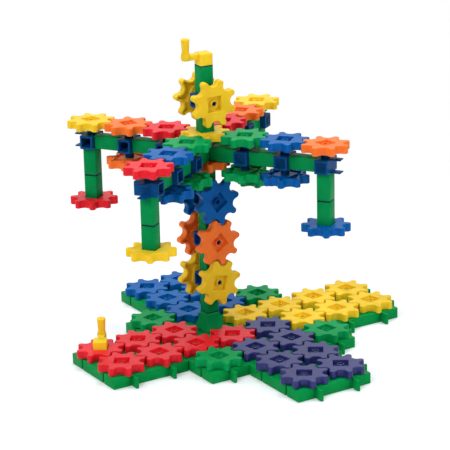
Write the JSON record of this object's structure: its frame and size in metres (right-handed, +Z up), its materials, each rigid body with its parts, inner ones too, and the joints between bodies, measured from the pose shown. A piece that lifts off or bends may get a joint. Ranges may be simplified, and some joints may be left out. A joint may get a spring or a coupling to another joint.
{
  "type": "crank gear construction toy",
  "caption": "Crank-turned gear construction toy: meshing gears on interlocked plates, a pillar mast and a turning four-armed carousel with gears above its arms and gear-footed legs.",
  "frame": {"origin": "where the mast axis meets the surface the toy stands on, at the underside of the floor plates", "axes": "+Z up along the mast; X and Y along the floor plates, with the side crank towards -X"},
  "size_m": [0.4147, 0.4147, 0.3708],
  "materials": {
    "red": "glossy moulded plastic",
    "yellow": "glossy moulded plastic",
    "blue": "glossy moulded plastic",
    "green": "glossy moulded plastic",
    "purple": "glossy moulded plastic",
    "orange": "glossy moulded plastic",
    "pillar_green": "glossy moulded plastic"
  },
  "bodies": {
    "base": {"floor_plates": "green", "lower_mast": "pillar_green"},
    "side_crank": {"red_floor_gear_1": "red", "side_crank": "yellow"},
    "red_floor_gear_2": {"red_floor_gear_2": "red"},
    "red_floor_gear_3": {"red_floor_gear_3": "red"},
    "red_floor_gear_4": {"red_floor_gear_4": "red"},
    "red_floor_gear_5": {"red_floor_gear_5": "red"},
    "red_floor_gear_6": {"red_floor_gear_6": "red"},
    "red_floor_gear_7": {"red_floor_gear_7": "red"},
    "blue_floor_gear_1": {"blue_floor_gear_1": "blue"},
    "blue_floor_gear_2": {"blue_floor_gear_2": "blue"},
    "blue_floor_gear_3": {"blue_floor_gear_3": "blue"},
    "blue_floor_gear_4": {"blue_floor_gear_4": "blue"},
    "blue_floor_gear_5": {"blue_floor_gear_5": "blue"},
    "blue_floor_gear_6": {"blue_floor_gear_6": "blue"},
    "yellow_floor_gear_1": {"yellow_floor_gear_1": "yellow"},
    "yellow_floor_gear_2": {"yellow_floor_gear_2": "yellow"},
    "yellow_floor_gear_3": {"yellow_floor_gear_3": "yellow"},
    "yellow_floor_gear_4": {"yellow_floor_gear_4": "yellow"},
    "yellow_floor_gear_5": {"yellow_floor_gear_5": "yellow"},
    "yellow_floor_gear_6": {"yellow_floor_gear_6": "yellow"},
    "yellow_floor_gear_7": {"yellow_floor_gear_7": "yellow"},
    "purple_floor_gear_1": {"purple_floor_gear_1": "purple"},
    "purple_floor_gear_2": {"purple_floor_gear_2": "purple"},
    "purple_floor_gear_3": {"purple_floor_gear_3": "purple"},
    "purple_floor_gear_4": {"purple_floor_gear_4": "purple"},
    "purple_floor_gear_5": {"purple_floor_gear_5": "purple"},
    "purple_floor_gear_6": {"purple_floor_gear_6": "purple"},
    "purple_floor_gear_7": {"purple_floor_gear_7": "purple"},
    "green_floor_gear_1": {"green_floor_gear_1": "green"},
    "green_floor_gear_2": {"green_floor_gear_2": "green"},
    "green_floor_gear_3": {"green_floor_gear_3": "green"},
    "green_floor_gear_4": {"green_floor_gear_4": "green"},
    "front_mast_yellow_gear": {"front_mast_yellow_gear": "yellow"},
    "front_mast_orange_gear": {"front_mast_orange_gear": "orange"},
    "front_mast_blue_gear": {"front_mast_blue_gear": "blue"},
    "rear_mast_yellow_gear": {"rear_mast_yellow_gear": "yellow"},
    "rear_mast_orange_gear": {"rear_mast_orange_gear": "orange"},
    "rear_mast_blue_gear": {"rear_mast_blue_gear": "blue"},
    "carousel": {"carousel_frame": "pillar_green", "back_arm_frame": "pillar_green", "front_arm_frame": "pillar_green"},
    "upper_mast": {"drive_gear": "yellow", "upper_mast": "pillar_green", "top_crank": "yellow"},
    "right_arm_green_gear": {"right_arm_green_gear": "green"},
    "right_arm_blue_gear": {"right_arm_blue_gear": "blue"},
    "right_arm_orange_gear": {"right_arm_orange_gear": "orange"},
    "back_arm_red_gear": {"back_arm_red_gear": "red"},
    "back_arm_orange_gear": {"back_arm_orange_gear": "orange"},
    "back_arm_yellow_gear": {"back_arm_yellow_gear": "yellow"},
    "left_arm_red_gear": {"left_arm_red_gear": "red"},
    "left_arm_orange_gear": {"left_arm_orange_gear": "orange"},
    "left_arm_yellow_gear": {"left_arm_yellow_gear": "yellow"},
    "front_arm_green_gear": {"front_arm_green_gear": "green"},
    "front_arm_blue_gear": {"front_arm_blue_gear": "blue"},
    "front_arm_red_gear": {"front_arm_red_gear": "red"},
    "front_top_yellow_gear": {"front_top_yellow_gear": "yellow"},
    "rear_top_yellow_gear": {"rear_top_yellow_gear": "yellow"}
  },
  "joints": [
    {"name": "side_crank_turn", "type": "hinge", "parent": "base", "child": "side_crank", "pos_m": [-0.15, 0, 0], "axis": [0, 0, 1], "continuous": true},
    {"name": "red_floor_gear_2_turn", "type": "hinge", "parent": "base", "child": "red_floor_gear_2", "pos_m": [-0.1, 0, 0], "axis": [0, 0, 1], "continuous": true},
    {"name": "red_floor_gear_3_turn", "type": "hinge", "parent": "base", "child": "red_floor_gear_3", "pos_m": [-0.05, 0, 0], "axis": [0, 0, 1], "continuous": true},
    {"name": "red_floor_gear_4_turn", "type": "hinge", "parent": "base", "child": "red_floor_gear_4", "pos_m": [-0.15, -0.05, 0], "axis": [0, 0, 1], "continuous": true},
    {"name": "red_floor_gear_5_turn", "type": "hinge", "parent": "base", "child": "red_floor_gear_5", "pos_m": [-0.1, -0.05, 0], "axis": [0, 0, 1], "continuous": true},
    {"name": "red_floor_gear_6_turn", "type": "hinge", "parent": "base", "child": "red_floor_gear_6", "pos_m": [-0.05, -0.05, 0], "axis": [0, 0, 1], "continuous": true},
    {"name": "red_floor_gear_7_turn", "type": "hinge", "parent": "base", "child": "red_floor_gear_7", "pos_m": [0, -0.05, 0], "axis": [0, 0, 1], "continuous": true},
    {"name": "blue_floor_gear_1_turn", "type": "hinge", "parent": "base", "child": "blue_floor_gear_1", "pos_m": [0, 0.05, 0], "axis": [0, 0, 1], "continuous": true},
    {"name": "blue_floor_gear_2_turn", "type": "hinge", "parent": "base", "child": "blue_floor_gear_2", "pos_m": [0, 0.1, 0], "axis": [0, 0, 1], "continuous": true},
    {"name": "blue_floor_gear_3_turn", "type": "hinge", "parent": "base", "child": "blue_floor_gear_3", "pos_m": [0, 0.15, 0], "axis": [0, 0, 1], "continuous": true},
    {"name": "blue_floor_gear_4_turn", "type": "hinge", "parent": "base", "child": "blue_floor_gear_4", "pos_m": [0.05, 0.05, 0], "axis": [0, 0, 1], "continuous": true},
    {"name": "blue_floor_gear_5_turn", "type": "hinge", "parent": "base", "child": "blue_floor_gear_5", "pos_m": [0.05, 0.1, 0], "axis": [0, 0, 1], "continuous": true},
    {"name": "blue_floor_gear_6_turn", "type": "hinge", "parent": "base", "child": "blue_floor_gear_6", "pos_m": [0.05, 0.15, 0], "axis": [0, 0, 1], "continuous": true},
    {"name": "yellow_floor_gear_1_turn", "type": "hinge", "parent": "base", "child": "yellow_floor_gear_1", "pos_m": [0.05, 0, 0], "axis": [0, 0, 1], "continuous": true},
    {"name": "yellow_floor_gear_2_turn", "type": "hinge", "parent": "base", "child": "yellow_floor_gear_2", "pos_m": [0.1, 0, 0], "axis": [0, 0, 1], "continuous": true},
    {"name": "yellow_floor_gear_3_turn", "type": "hinge", "parent": "base", "child": "yellow_floor_gear_3", "pos_m": [0.15, 0, 0], "axis": [0, 0, 1], "continuous": true},
    {"name": "yellow_floor_gear_4_turn", "type": "hinge", "parent": "base", "child": "yellow_floor_gear_4", "pos_m": [0.2, 0, 0], "axis": [0, 0, 1], "continuous": true},
    {"name": "yellow_floor_gear_5_turn", "type": "hinge", "parent": "base", "child": "yellow_floor_gear_5", "pos_m": [0.1, -0.05, 0], "axis": [0, 0, 1], "continuous": true},
    {"name": "yellow_floor_gear_6_turn", "type": "hinge", "parent": "base", "child": "yellow_floor_gear_6", "pos_m": [0.15, -0.05, 0], "axis": [0, 0, 1], "continuous": true},
    {"name": "yellow_floor_gear_7_turn", "type": "hinge", "parent": "base", "child": "yellow_floor_gear_7", "pos_m": [0.2, -0.05, 0], "axis": [0, 0, 1], "continuous": true},
    {"name": "purple_floor_gear_1_turn", "type": "hinge", "parent": "base", "child": "purple_floor_gear_1", "pos_m": [0.05, -0.05, 0], "axis": [0, 0, 1], "continuous": true},
    {"name": "purple_floor_gear_2_turn", "type": "hinge", "parent": "base", "child": "purple_floor_gear_2", "pos_m": [0.05, -0.1, 0], "axis": [0, 0, 1], "continuous": true},
    {"name": "purple_floor_gear_3_turn", "type": "hinge", "parent": "base", "child": "purple_floor_gear_3", "pos_m": [0.05, -0.15, 0], "axis": [0, 0, 1], "continuous": true},
    {"name": "purple_floor_gear_4_turn", "type": "hinge", "parent": "base", "child": "purple_floor_gear_4", "pos_m": [0.05, -0.2, 0], "axis": [0, 0, 1], "continuous": true},
    {"name": "purple_floor_gear_5_turn", "type": "hinge", "parent": "base", "child": "purple_floor_gear_5", "pos_m": [0, -0.1, 0], "axis": [0, 0, 1], "continuous": true},
    {"name": "purple_floor_gear_6_turn", "type": "hinge", "parent": "base", "child": "purple_floor_gear_6", "pos_m": [0, -0.15, 0], "axis": [0, 0, 1], "continuous": true},
    {"name": "purple_floor_gear_7_turn", "type": "hinge", "parent": "base", "child": "purple_floor_gear_7", "pos_m": [0, -0.2, 0], "axis": [0, 0, 1], "continuous": true},
    {"name": "green_floor_gear_1_turn", "type": "hinge", "parent": "base", "child": "green_floor_gear_1", "pos_m": [-0.05, 0.05, 0], "axis": [0, 0, 1], "continuous": true},
    {"name": "green_floor_gear_2_turn", "type": "hinge", "parent": "base", "child": "green_floor_gear_2", "pos_m": [0.1, 0.05, 0], "axis": [0, 0, 1], "continuous": true},
    {"name": "green_floor_gear_3_turn", "type": "hinge", "parent": "base", "child": "green_floor_gear_3", "pos_m": [0.1, -0.1, 0], "axis": [0, 0, 1], "continuous": true},
    {"name": "green_floor_gear_4_turn", "type": "hinge", "parent": "base", "child": "green_floor_gear_4", "pos_m": [-0.05, -0.1, 0], "axis": [0, 0, 1], "continuous": true},
    {"name": "front_mast_yellow_gear_turn", "type": "hinge", "parent": "base", "child": "front_mast_yellow_gear", "pos_m": [0, 0, 0.0776], "axis": [0, -1, 0], "continuous": true},
    {"name": "front_mast_orange_gear_turn", "type": "hinge", "parent": "base", "child": "front_mast_orange_gear", "pos_m": [0, 0, 0.1276], "axis": [0, -1, 0], "continuous": true},
    {"name": "front_mast_blue_gear_turn", "type": "hinge", "parent": "base", "child": "front_mast_blue_gear", "pos_m": [0, 0, 0.1776], "axis": [0, -1, 0], "continuous": true},
    {"name": "rear_mast_yellow_gear_turn", "type": "hinge", "parent": "base", "child": "rear_mast_yellow_gear", "pos_m": [0, 0, 0.0776], "axis": [0, 1, 0], "continuous": true},
    {"name": "rear_mast_orange_gear_turn", "type": "hinge", "parent": "base", "child": "rear_mast_orange_gear", "pos_m": [0, 0, 0.1276], "axis": [0, 1, 0], "continuous": true},
    {"name": "rear_mast_blue_gear_turn", "type": "hinge", "parent": "base", "child": "rear_mast_blue_gear", "pos_m": [0, 0, 0.1776], "axis": [0, 1, 0], "continuous": true},
    {"name": "carousel_turn", "type": "hinge", "parent": "base", "child": "carousel", "pos_m": [0, 0, 0.2327], "axis": [0, 0, 1], "continuous": true},
    {"name": "top_crank_turn", "type": "hinge", "parent": "carousel", "child": "upper_mast", "pos_m": [0, 0, 0.24925], "axis": [0, 0, 1], "continuous": true},
    {"name": "right_arm_green_gear_turn", "type": "hinge", "parent": "carousel", "child": "right_arm_green_gear", "pos_m": [0.02767, -0.04165, 0.24925], "axis": [0, 0, 1], "continuous": true},
    {"name": "right_arm_blue_gear_turn", "type": "hinge", "parent": "carousel", "child": "right_arm_blue_gear", "pos_m": [0.05534, -0.08329, 0.24925], "axis": [0, 0, 1], "continuous": true},
    {"name": "right_arm_orange_gear_turn", "type": "hinge", "parent": "carousel", "child": "right_arm_orange_gear", "pos_m": [0.08301, -0.12494, 0.24925], "axis": [0, 0, 1], "continuous": true},
    {"name": "back_arm_red_gear_turn", "type": "hinge", "parent": "carousel", "child": "back_arm_red_gear", "pos_m": [0.04165, 0.02767, 0.24925], "axis": [0, 0, 1], "continuous": true},
    {"name": "back_arm_orange_gear_turn", "type": "hinge", "parent": "carousel", "child": "back_arm_orange_gear", "pos_m": [0.08329, 0.05534, 0.24925], "axis": [0, 0, 1], "continuous": true},
    {"name": "back_arm_yellow_gear_turn", "type": "hinge", "parent": "carousel", "child": "back_arm_yellow_gear", "pos_m": [0.12494, 0.08301, 0.24925], "axis": [0, 0, 1], "continuous": true},
    {"name": "left_arm_red_gear_turn", "type": "hinge", "parent": "carousel", "child": "left_arm_red_gear", "pos_m": [-0.02767, 0.04165, 0.24925], "axis": [0, 0, 1], "continuous": true},
    {"name": "left_arm_orange_gear_turn", "type": "hinge", "parent": "carousel", "child": "left_arm_orange_gear", "pos_m": [-0.05534, 0.08329, 0.24925], "axis": [0, 0, 1], "continuous": true},
    {"name": "left_arm_yellow_gear_turn", "type": "hinge", "parent": "carousel", "child": "left_arm_yellow_gear", "pos_m": [-0.08301, 0.12494, 0.24925], "axis": [0, 0, 1], "continuous": true},
    {"name": "front_arm_green_gear_turn", "type": "hinge", "parent": "carousel", "child": "front_arm_green_gear", "pos_m": [-0.04165, -0.02767, 0.24925], "axis": [0, 0, 1], "continuous": true},
    {"name": "front_arm_blue_gear_turn", "type": "hinge", "parent": "carousel", "child": "front_arm_blue_gear", "pos_m": [-0.08329, -0.05534, 0.24925], "axis": [0, 0, 1], "continuous": true},
    {"name": "front_arm_red_gear_turn", "type": "hinge", "parent": "carousel", "child": "front_arm_red_gear", "pos_m": [-0.12494, -0.08301, 0.24925], "axis": [0, 0, 1], "continuous": true},
    {"name": "front_top_yellow_gear_turn", "type": "hinge", "parent": "upper_mast", "child": "front_top_yellow_gear", "pos_m": [0, 0, 0.2958], "axis": [-0.0785, -0.9969, 0], "continuous": true},
    {"name": "rear_top_yellow_gear_turn", "type": "hinge", "parent": "upper_mast", "child": "rear_top_yellow_gear", "pos_m": [0, 0, 0.2958], "axis": [0.0785, 0.9969, 0], "continuous": true}
  ],
  "couplings": [
    {"joint": "red_floor_gear_2_turn", "follows": "side_crank_turn", "ratio": -1},
    {"joint": "red_floor_gear_3_turn", "follows": "side_crank_turn", "ratio": 1},
    {"joint": "red_floor_gear_4_turn", "follows": "side_crank_turn", "ratio": -1},
    {"joint": "red_floor_gear_5_turn", "follows": "side_crank_turn", "ratio": 1},
    {"joint": "red_floor_gear_6_turn", "follows": "side_crank_turn", "ratio": -1},
    {"joint": "red_floor_gear_7_turn", "follows": "side_crank_turn", "ratio": 1},
    {"joint": "blue_floor_gear_1_turn", "follows": "side_crank_turn", "ratio": 1},
    {"joint": "blue_floor_gear_2_turn", "follows": "side_crank_turn", "ratio": -1},
    {"joint": "blue_floor_gear_3_turn", "follows": "side_crank_turn", "ratio": 1},
    {"joint": "blue_floor_gear_4_turn", "follows": "side_crank_turn", "ratio": -1},
    {"joint": "blue_floor_gear_5_turn", "follows": "side_crank_turn", "ratio": 1},
    {"joint": "blue_floor_gear_6_turn", "follows": "side_crank_turn", "ratio": -1},
    {"joint": "yellow_floor_gear_1_turn", "follows": "side_crank_turn", "ratio": 1},
    {"joint": "yellow_floor_gear_2_turn", "follows": "side_crank_turn", "ratio": -1},
    {"joint": "yellow_floor_gear_3_turn", "follows": "side_crank_turn", "ratio": 1},
    {"joint": "yellow_floor_gear_4_turn", "follows": "side_crank_turn", "ratio": -1},
    {"joint": "yellow_floor_gear_5_turn", "follows": "side_crank_turn", "ratio": 1},
    {"joint": "yellow_floor_gear_6_turn", "follows": "side_crank_turn", "ratio": -1},
    {"joint": "yellow_floor_gear_7_turn", "follows": "side_crank_turn", "ratio": 1},
    {"joint": "purple_floor_gear_1_turn", "follows": "side_crank_turn", "ratio": -1},
    {"joint": "purple_floor_gear_2_turn", "follows": "side_crank_turn", "ratio": 1},
    {"joint": "purple_floor_gear_3_turn", "follows": "side_crank_turn", "ratio": -1},
    {"joint": "purple_floor_gear_4_turn", "follows": "side_crank_turn", "ratio": 1},
    {"joint": "purple_floor_gear_5_turn", "follows": "side_crank_turn", "ratio": -1},
    {"joint": "purple_floor_gear_6_turn", "follows": "side_crank_turn", "ratio": 1},
    {"joint": "purple_floor_gear_7_turn", "follows": "side_crank_turn", "ratio": -1},
    {"joint": "green_floor_gear_1_turn", "follows": "side_crank_turn", "ratio": -1},
    {"joint": "green_floor_gear_2_turn", "follows": "side_crank_turn", "ratio": 1},
    {"joint": "green_floor_gear_3_turn", "follows": "side_crank_turn", "ratio": -1},
    {"joint": "green_floor_gear_4_turn", "follows": "side_crank_turn", "ratio": 1},
    {"joint": "front_mast_orange_gear_turn", "follows": "front_mast_yellow_gear_turn", "ratio": -1},
    {"joint": "front_mast_blue_gear_turn", "follows": "front_mast_yellow_gear_turn", "ratio": 1},
    {"joint": "rear_mast_orange_gear_turn", "follows": "rear_mast_yellow_gear_turn", "ratio": -1},
    {"joint": "rear_mast_blue_gear_turn", "follows": "rear_mast_yellow_gear_turn", "ratio": 1},
    {"joint": "right_arm_green_gear_turn", "follows": "top_crank_turn", "ratio": -1},
    {"joint": "right_arm_blue_gear_turn", "follows": "top_crank_turn", "ratio": 1},
    {"joint": "right_arm_orange_gear_turn", "follows": "top_crank_turn", "ratio": -1},
    {"joint": "back_arm_red_gear_turn", "follows": "top_crank_turn", "ratio": -1},
    {"joint": "back_arm_orange_gear_turn", "follows": "top_crank_turn", "ratio": 1},
    {"joint": "back_arm_yellow_gear_turn", "follows": "top_crank_turn", "ratio": -1},
    {"joint": "left_arm_red_gear_turn", "follows": "top_crank_turn", "ratio": -1},
    {"joint": "left_arm_orange_gear_turn", "follows": "top_crank_turn", "ratio": 1},
    {"joint": "left_arm_yellow_gear_turn", "follows": "top_crank_turn", "ratio": -1},
    {"joint": "front_arm_green_gear_turn", "follows": "top_crank_turn", "ratio": -1},
    {"joint": "front_arm_blue_gear_turn", "follows": "top_crank_turn", "ratio": 1},
    {"joint": "front_arm_red_gear_turn", "follows": "top_crank_turn", "ratio": -1}
  ]
}
